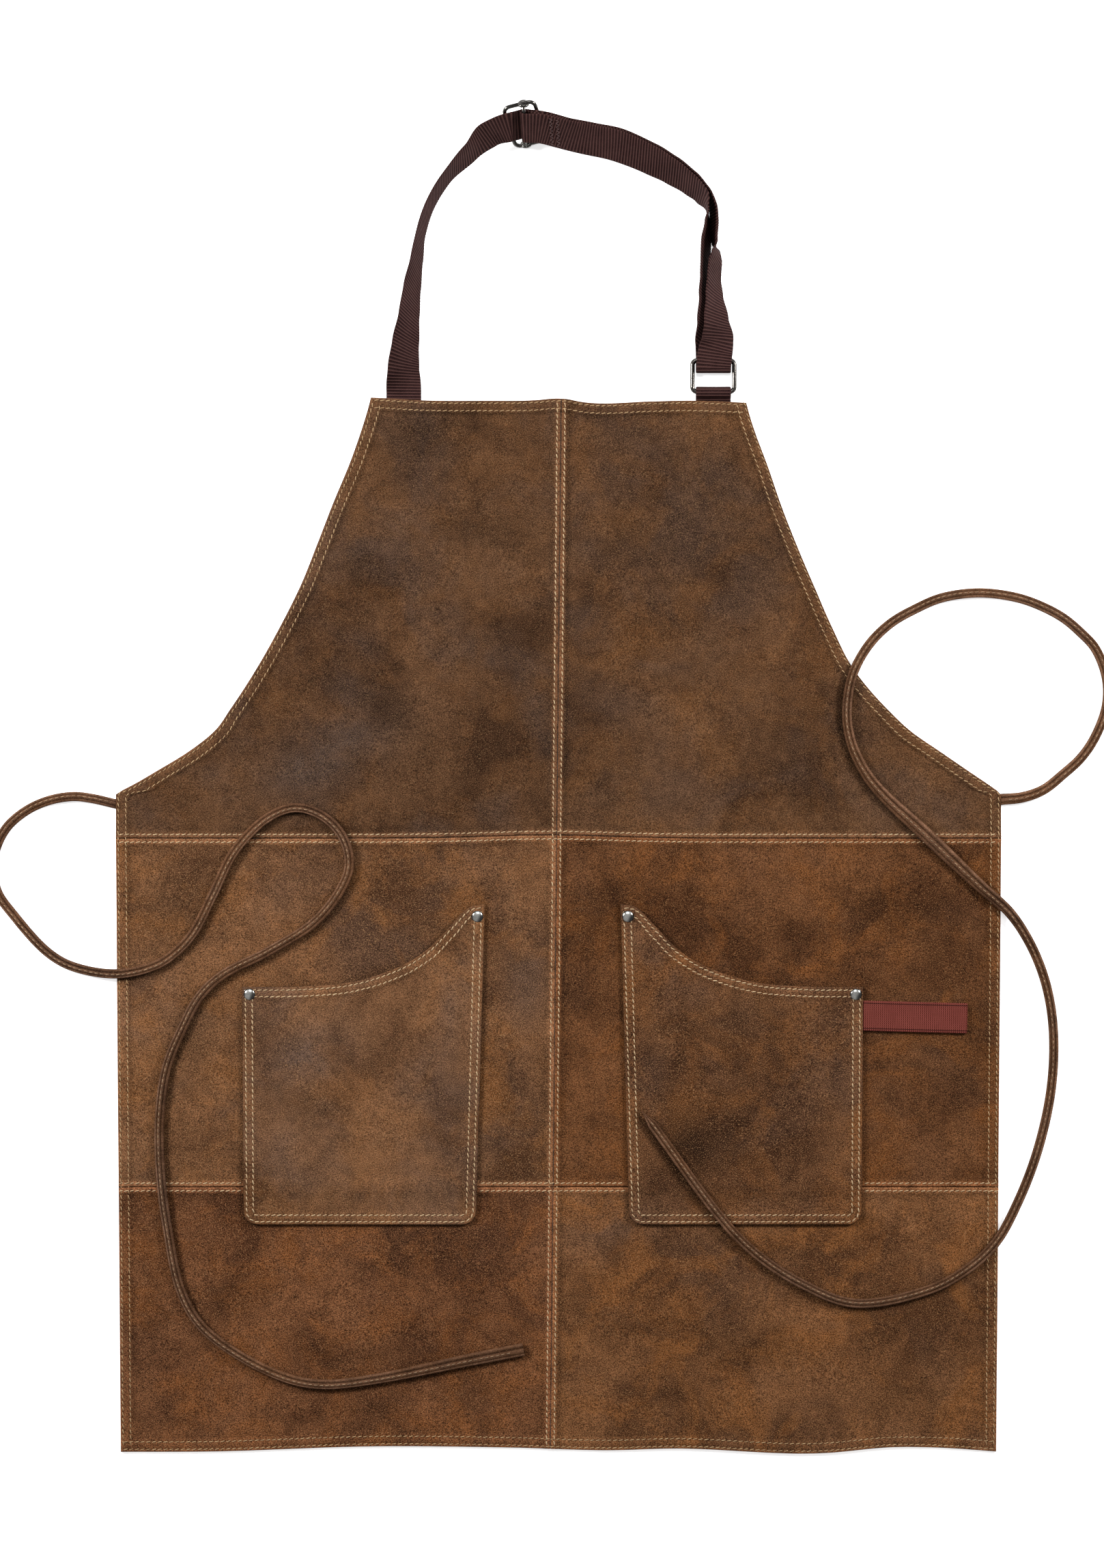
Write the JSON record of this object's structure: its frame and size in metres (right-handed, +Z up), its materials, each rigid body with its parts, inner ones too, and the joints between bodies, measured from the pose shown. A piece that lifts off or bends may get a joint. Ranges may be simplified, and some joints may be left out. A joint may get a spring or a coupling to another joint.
{
  "type": "leather apron",
  "caption": "Distressed brown leather work apron with sewn panels, patch pockets, an adjustable webbing neck strap and loose waist ties, lying flat",
  "frame": {"origin": "on the floor, under the middle of the apron with its neck strap, measured without the waist ties", "axes": "+X to the right as the apron's front is looked down on, +Y from the hem towards the neck, +Z up out of the leather"},
  "size_m": [0.806, 0.9666, 0.0329],
  "materials": {
    "leather": "distressed brown nubuck",
    "lace": "folded and stitched brown leather",
    "webbing": "ribbed dark webbing",
    "elastic": "woven red-brown elastic",
    "wire": "gunmetal wire",
    "nickel": "polished nickel"
  },
  "bodies": {
    "root": {"bib_left": "leather", "bib_right": "leather", "waist_left": "leather", "waist_right": "leather", "skirt_left": "leather", "skirt_right": "leather", "pocket_left": "leather", "pocket_right": "leather", "rivet_left_outer": "nickel", "rivet_left_inner": "nickel", "rivet_right_inner": "nickel", "rivet_right_outer": "nickel", "side_band": "elastic", "neck_strap": "webbing", "ring_tab": "webbing", "ring": "wire", "slider_frame": "wire", "slider_bar": "wire", "tie_left": "lace", "tie_right": "lace"}
  },
  "joints": []
}
